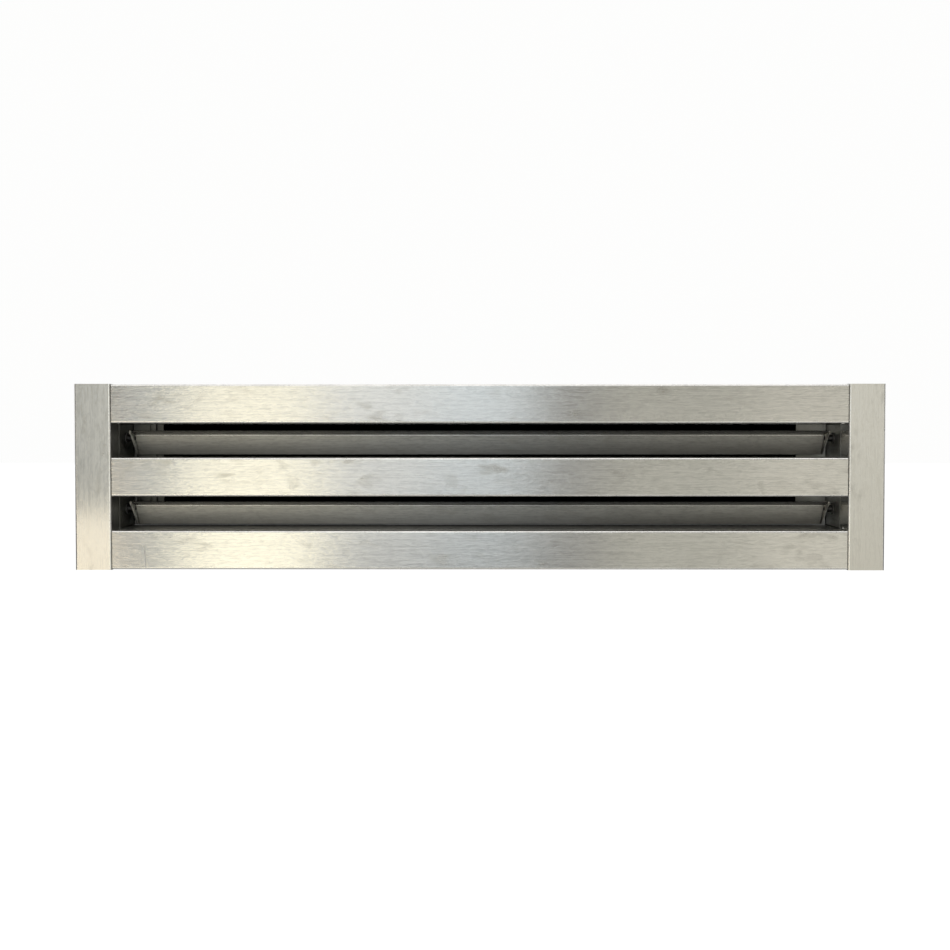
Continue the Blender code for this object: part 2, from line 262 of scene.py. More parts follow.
@dataclass(frozen=True)
class BrushedSteel:
    """Stainless steel brushed along one direction, with handling marks and a little tarnish."""

    name: str
    slot: str
    grain: Grain
    colour: tuple[float, float, float]
    tarnish: tuple[float, float, float]
    roughness: tuple[float, float] = (0.16, 0.23)
    anisotropy: float = 1.0
    streak: tuple[float, float] = (9.0, 0.7)
    streak_strength: float = 0.7
    contrast: float = 0.78
    cloud: float = 34.0
    smudge: float = 0.55
    relief: float = 0.07
    scratch: Scratch | None = None
    # Painted shade that darkens the surface towards the back of the opening.
    depth_shade: DepthShade | None = None

    def stretched(self, along: float, across: float) -> tuple[float, float, float]:
        """Gives a feature size that is long on the grain's own axis."""
        return tuple(along if axis == self.grain.value else across for axis in "XYZ")

    def build(self) -> bpy.types.Material:
        """Builds the material.

        Returns:
            The finished material.
        """
        nodes = Nodes(self.name)
        length, width = self.streak
        hairline = nodes.noise(self.stretched(length * 2.5, width * 0.45), 2.0)
        ripple = nodes.noise(self.stretched(length * 0.62, width * 1.9), 2.0, warp=0.9)
        cloud = nodes.noise((self.cloud,) * 3, 3.0, warp=0.4)
        patch = nodes.noise(self.stretched(self.cloud * 0.5, self.cloud * 0.22), 4.0, warp=0.6)
        grain = nodes.math("ADD", nodes.math("MULTIPLY", hairline, 0.5),
                           nodes.math("MULTIPLY", ripple, 0.5))
        dull = tuple(channel * self.contrast for channel in self.colour)
        colour = nodes.mix(nodes.spread(grain, 0.36, 0.6), dull, self.colour)
        stain = nodes.math("MULTIPLY", nodes.spread(patch, 0.5, 0.72), nodes.spread(cloud, 0.42, 0.62))
        colour = nodes.mix(nodes.math("MULTIPLY", stain, self.smudge), colour, self.tarnish)
        # Painted shade: the colour darkens towards the back, deeper in the opening.
        if self.depth_shade:
            shade_tone = tuple(channel * 0.3 for channel in self.tarnish)
            colour = nodes.mix(self.depth_shade.mask(nodes), colour, shade_tone)
        low, high = self.roughness
        roughness = nodes.math("ADD", nodes.spread(grain, 0.3, 0.7, low, high),
                               nodes.math("MULTIPLY", stain, 0.09))
        height = nodes.math("ADD", nodes.math("MULTIPLY", hairline, 0.35), ripple)
        if self.scratch:
            mark = self.scratch.mask(nodes)
            pale = tuple(min(1.0, channel * 1.45) for channel in self.colour)
            colour = nodes.mix(mark, colour, pale)
            roughness = nodes.math("ADD", roughness, nodes.math("MULTIPLY", mark, 0.5))
            height = nodes.math("SUBTRACT", height, mark)
        nodes.link(colour, nodes.shader.inputs["Base Color"])
        nodes.link(roughness, nodes.shader.inputs["Roughness"])
        nodes.bump(height, self.relief, self.streak_strength)
        nodes.shader.inputs["Metallic"].default_value = 1.0
        nodes.shader.inputs["Anisotropic"].default_value = self.anisotropy
        tangent = nodes.tree.nodes.new("ShaderNodeTangent")
        tangent.direction_type = "RADIAL"
        tangent.axis = self.grain.value
        nodes.link(tangent.outputs["Tangent"], nodes.shader.inputs["Tangent"])
        return nodes.material


@dataclass(frozen=True)
class WornSteel:
    """Steel with no grain: rolled, turned or melted, with fine pitting and heat colour."""

    name: str
    slot: str
    colour: tuple[float, float, float]
    heat: tuple[float, float, float]
    roughness: tuple[float, float]
    feature: float = 1.2
    depth: float = 0.04

    def build(self) -> bpy.types.Material:
        """Builds the material.

        Returns:
            The finished material.
        """
        nodes = Nodes(self.name)
        pits = nodes.noise((self.feature,) * 3, 4.0, rough=0.7)
        cloud = nodes.noise((self.feature * 9,) * 3, 3.0, warp=0.7)
        colour = nodes.mix(nodes.spread(cloud, 0.4, 0.66), self.colour, self.heat)
        colour = nodes.mix(nodes.spread(pits, 0.56, 0.74, 0.0, 0.5), colour,
                           tuple(channel * 0.6 for channel in self.colour))
        nodes.link(colour, nodes.shader.inputs["Base Color"])
        nodes.link(nodes.spread(pits, 0.3, 0.7, *self.roughness), nodes.shader.inputs["Roughness"])
        nodes.bump(pits, self.depth, 0.3)
        nodes.shader.inputs["Metallic"].default_value = 1.0
        return nodes.material


@dataclass(frozen=True)
class MouldedNylon:
    """Grey nylon with a fine moulded texture and rubbed, greyer patches."""

    name: str
    slot: str
    colour: tuple[float, float, float] = (0.10, 0.10, 0.098)
    rubbed: tuple[float, float, float] = (0.17, 0.17, 0.165)

    def build(self) -> bpy.types.Material:
        """Builds the material.

        Returns:
            The finished material.
        """
        nodes = Nodes(self.name)
        texture = nodes.noise((0.25, 0.25, 0.25), 3.0)
        rub = nodes.noise((2.4, 2.4, 2.4), 3.0, warp=0.5)
        colour = nodes.mix(nodes.spread(rub, 0.45, 0.75), self.colour, self.rubbed)
        nodes.link(colour, nodes.shader.inputs["Base Color"])
        nodes.link(nodes.spread(texture, 0.3, 0.7, 0.38, 0.6), nodes.shader.inputs["Roughness"])
        nodes.bump(texture, 0.03, 0.3)
        return nodes.material


Finish = BrushedSteel | WornSteel | MouldedNylon

STEEL = (0.71, 0.70, 0.67)
STEEL_TARNISH = (0.50, 0.48, 0.43)
BAR_FINISH = BrushedSteel("brushed_bar_steel", "frame_steel", Grain.ACROSS, STEEL, STEEL_TARNISH)
POST_FINISH = BrushedSteel("brushed_post_steel", "frame_steel", Grain.UPRIGHT, STEEL, STEEL_TARNISH,
                           streak=(8.0, 0.9), streak_strength=0.16, contrast=0.86)
# Edge steel rubbed bright and also lightened as a painted highlight along the rounded edges.
RUBBED_HIGHLIGHT_FINISH = WornSteel("rubbed_highlight_edge_steel", "frame_steel", (0.92, 0.91, 0.88), (0.80, 0.79, 0.76),
                          (0.2, 0.3), feature=2.5, depth=0.004)
CAP_FINISH = BrushedSteel("brushed_cap_steel", "frame_steel", Grain.ACROSS, STEEL, STEEL_TARNISH,
                          streak=(5.0, 0.6))
WELD_FINISH = WornSteel("heat_tinted_weld", "frame_steel", (0.50, 0.47, 0.42), (0.36, 0.30, 0.27),
                        (0.25, 0.5), feature=0.7, depth=0.08)
CORNER_FINISH = WornSteel("dull_corner_weld", "sleeve_steel", (0.20, 0.20, 0.19), (0.13, 0.12, 0.11),
                          (0.35, 0.5), feature=0.6, depth=0.04)
TACK_FINISH = WornSteel("bright_tack_weld", "frame_steel", (0.82, 0.82, 0.80), (0.62, 0.60, 0.56),
                        (0.12, 0.3), feature=0.6)
# The rolled sheet carries painted shade that darkens it towards the back of the opening.
SLEEVE_FINISH = BrushedSteel("mill_rolled_sheet", "sleeve_steel", Grain.DEEP, (0.72, 0.72, 0.69),
                             (0.50, 0.49, 0.45), roughness=(0.3, 0.42), anisotropy=0.35, streak=(14.0, 1.2),
                             streak_strength=0.14, cloud=26.0, depth_shade=DepthShade(24.0 * MM, 34.0 * MM, 0.5))
# A darker copy of the rolled sheet, a painted shade for the left side and seam strip; it also carries painted shade
# towards the back.
SLEEVE_SHADED_FINISH = BrushedSteel("shaded_rolled_sheet", "sleeve_steel", Grain.DEEP, (0.44, 0.44, 0.41),
                                  (0.31, 0.30, 0.28), roughness=(0.32, 0.44), anisotropy=0.35,
                                  streak=(14.0, 1.2), streak_strength=0.14, cloud=26.0,
                                  depth_shade=DepthShade(16.0 * MM, 34.0 * MM, 0.62))
# A darker copy of the post steel, a painted shade on the left post's inner face.
INNER_POST_SHADE_FINISH = BrushedSteel("shaded_inner_post_face", "frame_steel", Grain.UPRIGHT, (0.34, 0.34, 0.32),
                                 (0.24, 0.235, 0.22), roughness=(0.32, 0.44), anisotropy=0.35,
                                 streak=(14.0, 1.2), streak_strength=0.14)
SLEEVE_LONG_FINISH = BrushedSteel("mill_rolled_long_sheet", "sleeve_steel", Grain.ACROSS, (0.50, 0.50, 0.48),
                                  (0.33, 0.32, 0.29), roughness=(0.3, 0.42), anisotropy=0.35,
                                  streak=(18.0, 1.2), streak_strength=0.14, cloud=30.0)
# The blade steel is lighter than the frame's steel as a painted sheen, and its depth shade is painted shade that
# darkens the face towards its lower, rear edge.
BLADE_FINISH = BrushedSteel("brushed_blade_steel", "blade_steel", Grain.ACROSS, (0.95, 0.94, 0.90),
                            (0.74, 0.72, 0.67), roughness=(0.46, 0.56), anisotropy=1.0, streak=(9.0, 0.8),
                            streak_strength=0.8, relief=0.1, depth_shade=DepthShade(15.6 * MM, 26.0 * MM, 0.6))
# A near-black copy of the blade steel, a painted shade on the lip's underside.
LIP_SHADE_FINISH = BrushedSteel("lip_painted_shade", "blade_steel", Grain.ACROSS, (0.07, 0.07, 0.068),
                          (0.05, 0.05, 0.048), roughness=(0.22, 0.32), anisotropy=0.6, streak=(9.0, 0.8),
                          streak_strength=0.2)
BLADE_EDGE_FINISH = WornSteel("sawn_blade_edge", "blade_steel", (0.40, 0.39, 0.37), (0.30, 0.29, 0.27),
                              (0.35, 0.5), feature=0.8)
# The strip laid along the fold as a painted highlight.
FOLD_HIGHLIGHT_FINISH = WornSteel("fold_highlight_strip", "blade_steel", (0.42, 0.415, 0.40), (0.34, 0.335, 0.325),
                          (0.22, 0.32), feature=3.0, depth=0.004)
SLEEVE_EDGE_FINISH = WornSteel("sheared_sheet_edge", "sleeve_steel", (0.34, 0.34, 0.33), (0.24, 0.24, 0.22),
                               (0.4, 0.55), feature=0.8)
PIN_FINISH = WornSteel("blackened_pin_steel", "pin_steel", (0.11, 0.11, 0.115), (0.07, 0.07, 0.07),
                       (0.38, 0.55), feature=0.8)
BUSH_FINISH = MouldedNylon("moulded_bush_nylon", "bush_nylon")
# The link copies the sleeve's finish, its painted depth shade included.
LINK_FINISH = replace(SLEEVE_FINISH, name="dull_link_steel", slot="blade_steel", grain=Grain.UPRIGHT,
                      colour=(0.16, 0.16, 0.155), tarnish=(0.09, 0.09, 0.085))


class FinishShop:
    """Builds each finish once and hands it out."""

    def __init__(self) -> None:
        """Starts with no finishes built."""
        self.built: dict[str, bpy.types.Material] = {}

    def get(self, finish: Finish) -> bpy.types.Material:
        """Returns a finish's material, built the first time.

        Args:
            finish: The finish wanted.

        Returns:
            Its material.
        """
        if finish.name not in self.built:
            self.built[finish.name] = finish.build()
        return self.built[finish.name]


# ---------------------------------------------------------------- shaping


def hardened_normals(mesh: bpy.types.Mesh) -> None:
    """Shades flat faces flat and lets rounded edges run smoothly between them.

    Args:
        mesh: The mesh to shade.
    """
    around: dict[int, list[tuple[Vector, float]]] = {}
    for face in mesh.polygons:
        for index in face.vertices:
            around.setdefault(index, []).append((face.normal.copy(), face.area))
    limit = math.cos(SHARP_ANGLE)
    normals = []
    for face in mesh.polygons:
        for index in face.vertices:
            total = Vector((0, 0, 0))
            for normal, area in around[index]:
                if normal.dot(face.normal) > limit:
                    total += normal * area
            normals.append(total.normalized() if total.length > 0 else face.normal.copy())
    for face in mesh.polygons:
        face.use_smooth = True
    mesh.normals_split_custom_set(normals)


def make_piece(name: str, bm: bmesh.types.BMesh, body: str, finishes: list[bpy.types.Material]) -> bpy.types.Object:
    """Turns a bmesh into a finished piece that rides on a body.

    Args:
        name: The piece's name.
        bm: Its shape in the row frame. It is freed.
        body: The CAD body it rides on.
        finishes: Its materials, the main one first.

    Returns:
        The new object.
    """
    mesh = bpy.data.meshes.new(name)
    bm.to_mesh(mesh)
    bm.free()
    for finish in finishes:
        mesh.materials.append(finish)
    hardened_normals(mesh)
    piece = bpy.data.objects.new(name, mesh)
    bpy.context.scene.collection.objects.link(piece)
    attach(piece, body)
    LOG.info("%s on %s: %d faces", name, body, len(mesh.polygons))
    return piece


def merged_copy(node: str) -> bmesh.types.BMesh:
    """Copies a CAD node and joins its loose triangles into whole flat faces.

    Args:
        node: The CAD node's name.

    Returns:
        The copy.
    """
    bm = bmesh.new()
    bm.from_mesh(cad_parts[node].data)
    for face in bm.faces:
        face.material_index = 0
    bmesh.ops.remove_doubles(bm, verts=bm.verts[:], dist=MERGE_DISTANCE)
    bmesh.ops.dissolve_limit(bm, angle_limit=FLAT_ANGLE, verts=bm.verts[:], edges=bm.edges[:])
    return bm


def dress_edges(bm: bmesh.types.BMesh, edge: Edge, rubbed_index: int) -> None:
    """Rounds the sharp edges of a shape and marks the rounding as rubbed.

    Args:
        bm: The shape.
        edge: How the edges were dressed.
        rubbed_index: The material index of the rounding.
    """
    width, steps = edge.value
    sharp = [e for e in bm.edges if e.is_manifold and e.calc_face_angle() > SHARP_ANGLE]
    rounded = bmesh.ops.bevel(bm, geom=sharp, offset=width * MM, offset_type="OFFSET", segments=steps,
                              profile=0.5, affect="EDGES", clamp_overlap=True, material=-1)
    for face in rounded["faces"]:
        face.material_index = rubbed_index


@dataclass
class Workshop:
    """Shapes and dresses the pieces that several sub-assemblies share."""

    finishes: FinishShop
    inner_corner: float = 0.2 * MM

    def refine(self, node: str, body: str, finish: Finish, edge: Edge,
               edge_finish: Finish) -> bpy.types.Object:
        """Replaces a CAD node by a copy with dressed edges.

        Args:
            node: The CAD node.
            body: The body it belongs to.
            finish: Its finish.
            edge: How its edges are dressed.
            edge_finish: The finish of the dressed edges.

        Returns:
            The new piece.
        """
        bm = merged_copy(node)
        dress_edges(bm, edge, 1)
        materials = [self.finishes.get(finish), self.finishes.get(edge_finish)]
        piece = make_piece(node + "_finished", bm, body, materials)
        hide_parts(node)
        return piece

    def box_tube(self, node: str, grain: Grain, finish: BrushedSteel, wall: float, corner: float,
                 corner_steps: int) -> bpy.types.Object:
        """Replaces a CAD tube by one with finely rounded corners.

        Args:
            node: The CAD node, whose box gives the tube's size.
            grain: The axis the tube runs along.
            finish: Its finish.
            wall: Wall thickness in metres.
            corner: Outer corner radius in metres.
            corner_steps: Steps around each corner.

        Returns:
            The new piece.
        """
        low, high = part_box(node)
        size, centre = high - low, (low + high) / 2
        run = {Grain.ACROSS: Vector((1, 0, 0)), Grain.UPRIGHT: Vector((0, 0, 1))}[grain]
        width = size.z if grain is Grain.ACROSS else size.x
        length = size.dot(run)
        bm = bmesh.new()
        for inset, radius in ((0.0, corner), (wall, self.inner_corner)):
            made = bmesh.ops.create_grid(bm, x_segments=1, y_segments=1, size=0.5)
            bmesh.ops.scale(bm, vec=(width - 2 * inset, size.y - 2 * inset, 1), verts=made["verts"])
            bmesh.ops.bevel(bm, geom=made["verts"], offset=radius, segments=corner_steps, profile=0.5,
                            affect="VERTICES", material=-1)
        bmesh.ops.delete(bm, geom=bm.faces[:], context="FACES_ONLY")
        bmesh.ops.bridge_loops(bm, edges=bm.edges[:])
        grown = bmesh.ops.extrude_face_region(bm, geom=bm.faces[:])
        lifted = [v for v in grown["geom"] if isinstance(v, bmesh.types.BMVert)]
        bmesh.ops.translate(bm, vec=(0, 0, length), verts=lifted)
        bmesh.ops.translate(bm, vec=(0, 0, -length / 2), verts=bm.verts[:])
        bmesh.ops.recalc_face_normals(bm, faces=bm.faces[:])
        turn = Matrix.Rotation(math.radians(90), 4, "Y") if grain is Grain.ACROSS else Matrix.Identity(4)
        bmesh.ops.transform(bm, matrix=Matrix.Translation(centre) @ turn, verts=bm.verts[:])
        # The rounded corners take the lightened edge steel, partly a painted highlight.
        for face in bm.faces:
            slanted = max(abs(component) for component in face.normal) < math.cos(math.radians(3))
            face.material_index = 1 if slanted else 0
        materials = [self.finishes.get(finish), self.finishes.get(RUBBED_HIGHLIGHT_FINISH)]
        piece = make_piece(node + "_finished", bm, "frame", materials)
        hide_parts(node)
        return piece

    def weld_bead(self, name: str, start: Vector, end: Vector, radius: float,
                  finish: WornSteel) -> bpy.types.Object:
        """Lays a rippled weld bead between two points.

        Args:
            name: The piece's name.
            start: Where the bead starts.
            end: Where it ends.
            radius: Its radius in metres.
            finish: Its finish.

        Returns:
            The new piece.
        """
        run = end - start
        ripples = max(2, round(run.length / (radius * 0.7)))
        bm = bmesh.new()
        bmesh.ops.create_circle(bm, cap_ends=True, segments=12, radius=radius * 0.45)
        for step in range(2 * ripples):
            top = max(bm.faces, key=lambda face: face.calc_center_median().z)
            grown = bmesh.ops.extrude_face_region(bm, geom=[top])
            verts = [v for v in grown["geom"] if isinstance(v, bmesh.types.BMVert)]
            last = step == 2 * ripples - 1
            reach = radius * (0.45 if last else (1.0 if step % 2 == 0 else 0.86))
            centre = sum((v.co for v in verts), Vector()) / len(verts)
            for vert in verts:
                offset = vert.co - centre
                vert.co = centre + offset.normalized() * reach
            bmesh.ops.translate(bm, vec=(0, 0, run.length / (2 * ripples)), verts=verts)
            if top.is_valid and step > 0:
                bmesh.ops.delete(bm, geom=[top], context="FACES_ONLY")
        bmesh.ops.recalc_face_normals(bm, faces=bm.faces[:])
        turn = run.to_track_quat("Z", "Y").to_matrix().to_4x4()
        bmesh.ops.transform(bm, matrix=Matrix.Translation(start) @ turn, verts=bm.verts[:])
        return make_piece(name, bm, "frame", [self.finishes.get(finish)])

    def tack(self, name: str, place: Vector, size: Vector, finish: WornSteel) -> bpy.types.Object:
        """Drops one small melted tack.

        Args:
            name: The piece's name.
            place: Its centre.
            size: Its half sizes.
            finish: Its finish.

        Returns:
            The new piece.
        """
        bm = bmesh.new()
        bmesh.ops.create_icosphere(bm, subdivisions=3, radius=1.0)
        for vert in bm.verts:
            lump = 1 + 0.09 * math.sin(5.1 * vert.co.x + 1.7) * math.sin(4.3 * vert.co.z + place.x * 900)
            vert.co = vert.co * lump
        bmesh.ops.scale(bm, vec=size, verts=bm.verts[:])
        bmesh.ops.translate(bm, vec=place, verts=bm.verts[:])
        return make_piece(name, bm, "frame", [self.finishes.get(finish)])


# ---------------------------------------------------------------- sub-assemblies


@dataclass
class WeldedFrame:
    """Three bars between two posts, in brushed box tube."""

    workshop: Workshop
    wall: float = 1.5 * MM
    corner: float = 1.3 * MM
    corner_steps: int = 8
    bead_radius: float = 0.95 * MM
    scratch_inset: float = 21.4 * MM
    scratch_rise: float = 0.4 * MM
    scratch_drop: float = 8.5 * MM

    def build(self) -> None:
        """Builds the tubes, their caps and the welds that hold them."""
        scratched = replace(BAR_FINISH, name="brushed_scratched_bar_steel", scratch=self.bar_scratch())
        for bar in ("top_bar", "middle_bar", "bottom_bar"):
            finish = scratched if bar == "bottom_bar" else BAR_FINISH
            self.workshop.box_tube(bar, Grain.ACROSS, finish, self.wall, self.corner, self.corner_steps)
        for side in ("left", "right"):
            post = self.workshop.box_tube(f"{side}_post", Grain.UPRIGHT, POST_FINISH, self.wall, self.corner,
                                          self.corner_steps)
            if side == "left":
                self.shade_inner_face(post)
            for end in ("top", "bottom"):
                self.workshop.refine(f"{side}_post_{end}_cap", "frame", CAP_FINISH, Edge.DEBURRED,
                                     RUBBED_HIGHLIGHT_FINISH)
        self.weld_joints()
        self.tack_joints()

    def shade_inner_face(self, post: bpy.types.Object) -> None:
        """Darkens the face of the left post that looks into the opening, a painted shade.

        Args:
            post: The finished left post.
        """
        index = len(post.data.materials)
        post.data.materials.append(self.workshop.finishes.get(INNER_POST_SHADE_FINISH))
        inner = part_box("left_post")[1].x - 0.1 * MM
        for polygon in post.data.polygons:
            if polygon.center.x > inner and polygon.normal.x > 0.99:
                polygon.material_index = index

    def bar_scratch(self) -> Scratch:
        """Places the scratch a finger's width in from the bottom bar's left end."""
        low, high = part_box("bottom_bar")
        return Scratch(x=low.x + self.scratch_inset, low=low.z + self.scratch_rise,
                       high=high.z - self.scratch_drop)

    def weld_joints(self) -> None:
        """Runs a bead down the back of each outer joint."""
        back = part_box("top_bar")[1].y + self.bead_radius * 0.3
        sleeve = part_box("sleeve_top")[1].z
        for bar, low, high in (("top_bar", sleeve + 1.6 * MM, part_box("top_bar")[1].z - 0.8 * MM),
                               ("bottom_bar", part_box("bottom_bar")[0].z + 0.8 * MM, -sleeve - 1.6 * MM)):
            for side, x in (("left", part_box("left_post")[1].x), ("right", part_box("right_post")[0].x)):
                self.workshop.weld_bead(f"{bar}_{side}_weld", Vector((x, back, low)),
                                        Vector((x, back, high)), self.bead_radius, WELD_FINISH)

    def tack_joints(self) -> None:
        """Drops the bright tacks that show inside the right-hand corners."""
        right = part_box("right_post")[0].x
        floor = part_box("bottom_bar")[1].z
        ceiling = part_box("top_bar")[0].z
        tiny = Vector((0.7, 0.9, 0.75)) * MM
        self.workshop.tack("top_corner_tack", Vector((right - 3.3 * MM, -18.2 * MM, ceiling)),
                           Vector((1.3, 0.9, 0.55)) * MM, TACK_FINISH)
        self.workshop.tack("bottom_corner_tack", Vector((right - 0.2 * MM, -8.5 * MM, floor + 0.9 * MM)),
                           tiny, TACK_FINISH)
        self.workshop.tack("sleeve_floor_tack", Vector((right - 3.5 * MM, 10.0 * MM, floor + 0.4 * MM)),
                           tiny, TACK_FINISH)


@dataclass
class FoldedSleeve:
    """The sheet sleeve behind the frame, its seam strip and the tacks that hold it."""

    workshop: Workshop
    tack_spacing: float = 150.0 * MM
    sheet: float = 1.2 * MM
    corner_bead: float = 0.45 * MM
    corner_inset: float = 0.15 * MM
    bead_start: float = 0.3 * MM
    bead_stop: float = 1.6 * MM

    def build(self) -> None:
        """Builds the four sheets, the strip and the tacks."""
        for node in ("sleeve_top", "sleeve_bottom"):
            self.workshop.refine(node, "frame", SLEEVE_LONG_FINISH, Edge.SAWN, SLEEVE_EDGE_FINISH)
        # The left side and the seam strip take the darker copy of the sheet, a painted shade.
        for node, finish in (("sleeve_left_side", SLEEVE_SHADED_FINISH), ("sleeve_right_side", SLEEVE_FINISH),
                             ("sleeve_seam_strip", SLEEVE_SHADED_FINISH)):
            self.workshop.refine(node, "frame", finish, Edge.SAWN, SLEEVE_EDGE_FINISH)
        self.seal_corners()
        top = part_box("sleeve_top")[1].z
        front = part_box("sleeve_top")[0].y
        half = Vector((2.6, 0.8, 0.8)) * MM
        for name, z in (("top", top), ("bottom", -top)):
            for index in range(-1, 2):
                height = z + math.copysign(half.z * 0.4, z)
                place = Vector((index * self.tack_spacing, front + half.y * 0.6, height))
                self.workshop.tack(f"sleeve_{name}_tack_{index + 2}", place, half, WELD_FINISH)
        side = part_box("sleeve_right_side")[1].x
        upright = Vector((half.z, half.y, half.x))
        for name, x in (("left", -side), ("right", side)):
            place = Vector((x + math.copysign(half.z * 0.4, x), front + half.y * 0.6, 0))
            self.workshop.tack(f"sleeve_{name}_tack", place, upright, WELD_FINISH)

    def seal_corners(self) -> None:
        """Runs a fine closing bead along each inside corner of the sleeve."""
        low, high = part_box("sleeve_top")
        front, back = low.y + self.bead_start, high.y - self.bead_stop
        ceiling, side = low.z, high.x - self.sheet
        for x_name, x in (("left", -side), ("right", side)):
            for z_name, z in (("top", ceiling - self.corner_inset), ("bottom", self.corner_inset - ceiling)):
                self.workshop.weld_bead(f"sleeve_{x_name}_{z_name}_corner_bead", Vector((x, front, z)),
                                        Vector((x, back, z)), self.corner_bead, CORNER_FINISH)


@dataclass
class Louvre:
    """One folded blade with its end plates, pivots and link pin."""

    workshop: Workshop
    name: str
    lip_length: float = 9.63 * MM
    lip_rise: float = math.radians(10.3)
    sheet: float = 1.2 * MM
    crease_depth: float = 0.8 * MM
    crease_height: float = 1.0 * MM
    crease_offset_mm: tuple[float, float, float] = (0.0, 0.05, -0.15)

    def build(self) -> None:
        """Builds the blade and everything that turns with it."""
        body = f"{self.name}_louvre"
        for part in ("blade", "blade_left_end", "blade_right_end"):
            piece = self.workshop.refine(f"{self.name}_{part}", body, BLADE_FINISH, Edge.SAWN,
                                         BLADE_EDGE_FINISH)
            if part == "blade":
                self.shade_lip_underside(piece)
        self.lay_fold_highlight(body)
        for part in ("left_pivot_pin", "right_pivot_pin", "link_pin"):
            self.workshop.refine(f"{self.name}_{part}", body, PIN_FINISH, Edge.TURNED, PIN_FINISH)
        for side in ("left", "right"):
            self.workshop.refine(f"{self.name}_{side}_bush", "frame", BUSH_FINISH, Edge.TURNED,
                                 BUSH_FINISH)

    def shade_lip_underside(self, piece: bpy.types.Object) -> None:
        """Paints the underside of the lip near black, a painted shade where it faces down into the slot.

        Args:
            piece: The finished blade.
        """
        index = len(piece.data.materials)
        piece.data.materials.append(self.workshop.finishes.get(LIP_SHADE_FINISH))
        under = Vector((0, -math.sin(self.lip_rise), -math.cos(self.lip_rise)))
        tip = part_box(f"{self.name}_blade")[0].y
        for polygon in piece.data.polygons:
            beneath = polygon.normal.dot(under) > math.cos(math.radians(4))
            if polygon.center.y < tip + (self.lip_length if beneath else self.sheet):
                polygon.material_index = index

    def lay_fold_highlight(self, body: str) -> None:
        """Lays a strip along the fold whose upright front face catches the light, a painted highlight that stands
        in for the fold's bright line.

        Args:
            body: The body it rides on.
        """
        low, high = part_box(f"{self.name}_blade")
        tip_z = high.z - self.sheet * math.cos(self.lip_rise)
        fold = Vector((0, low.y + self.lip_length * math.cos(self.lip_rise),
                       tip_z - self.lip_length * math.sin(self.lip_rise)))
        bm = bmesh.new()
        bmesh.ops.create_cube(bm, size=1.0)
        bmesh.ops.scale(bm, vec=(high.x - low.x, self.crease_depth, self.crease_height), verts=bm.verts[:])
        bmesh.ops.bevel(bm, geom=bm.edges[:], offset=self.crease_depth * 0.15, segments=2, profile=0.5,
                        affect="EDGES", material=-1)
        bmesh.ops.translate(bm, vec=fold + Vector(self.crease_offset_mm) * MM, verts=bm.verts[:])
        make_piece(f"{self.name}_blade_fold_highlight", bm, body, [self.workshop.finishes.get(FOLD_HIGHLIGHT_FINISH)])


@dataclass
class Linkage:
    """The upright bar that joins the ears on the blades' left end plates."""

    workshop: Workshop

    def build(self) -> None:
        """Builds the link bar."""
        self.workshop.refine("link_bar", "link", LINK_FINISH, Edge.SAWN, PIN_FINISH)


# ---------------------------------------------------------------- studio


@dataclass(frozen=True)
class SoftBox:
    """A flat studio light: its centre, its size, where it points, its colour and brightness."""

    name: str
    centre: tuple[float, float, float]
    size: tuple[float, float]
    target: tuple[float, float, float]
    colour: tuple[float, float, float]
    radiance: float

    def build(self) -> None:
        """Hangs the light."""
        data = bpy.data.lights.new(self.name, "AREA")
        data.shape = "RECTANGLE"
        data.size, data.size_y = self.size
        data.color = self.colour
        data.energy = self.radiance * math.pi * self.size[0] * self.size[1]
        light = bpy.data.objects.new(self.name, data)
        light.location = self.centre
        aim = Vector(self.target) - Vector(self.centre)
        light.rotation_euler = aim.to_track_quat("-Z", "Y").to_euler()
        light.visible_camera = False
        bpy.context.scene.collection.objects.link(light)


@dataclass(frozen=True)
class FrontPanel:
    """One of the upright panels that the brushed faces mirror."""

    left: float
    right: float
    low: float
    high: float
    colour: tuple[float, float, float]
    radiance: float


FRONT_PANELS = (
    FrontPanel(-1.25, -0.67, -0.12, 0.40, (0.95, 0.98, 1.0), 0.02),
    FrontPanel(-1.25, -0.67, -0.66, -0.12, (1.0, 0.87, 0.66), 1.8),
    FrontPanel(-0.67, -0.574, -0.28, 0.62, (0.84, 0.93, 1.0), 0.56),
    FrontPanel(-0.574, -0.30, -0.26, 0.55, (1.0, 0.965, 0.81), 1.28),
    FrontPanel(-0.574, -0.30, -0.70, -0.26, (1.0, 0.94, 0.72), 2.3),
    FrontPanel(-0.30, -0.10, -0.20, 0.80, (0.97, 1.0, 1.0), 1.14),
    FrontPanel(-0.10, 0.10, -0.16, 0.84, (0.85, 0.94, 1.0), 1.16),
    FrontPanel(0.10, 0.22, -0.34, 0.60, (1.0, 0.99, 0.95), 0.27),
    FrontPanel(0.22, 0.50, -0.66, 0.34, (1.0, 0.98, 0.83), 0.49),
    FrontPanel(0.50, 1.25, -0.72, 0.28, (1.0, 0.96, 0.82), 0.75),
)


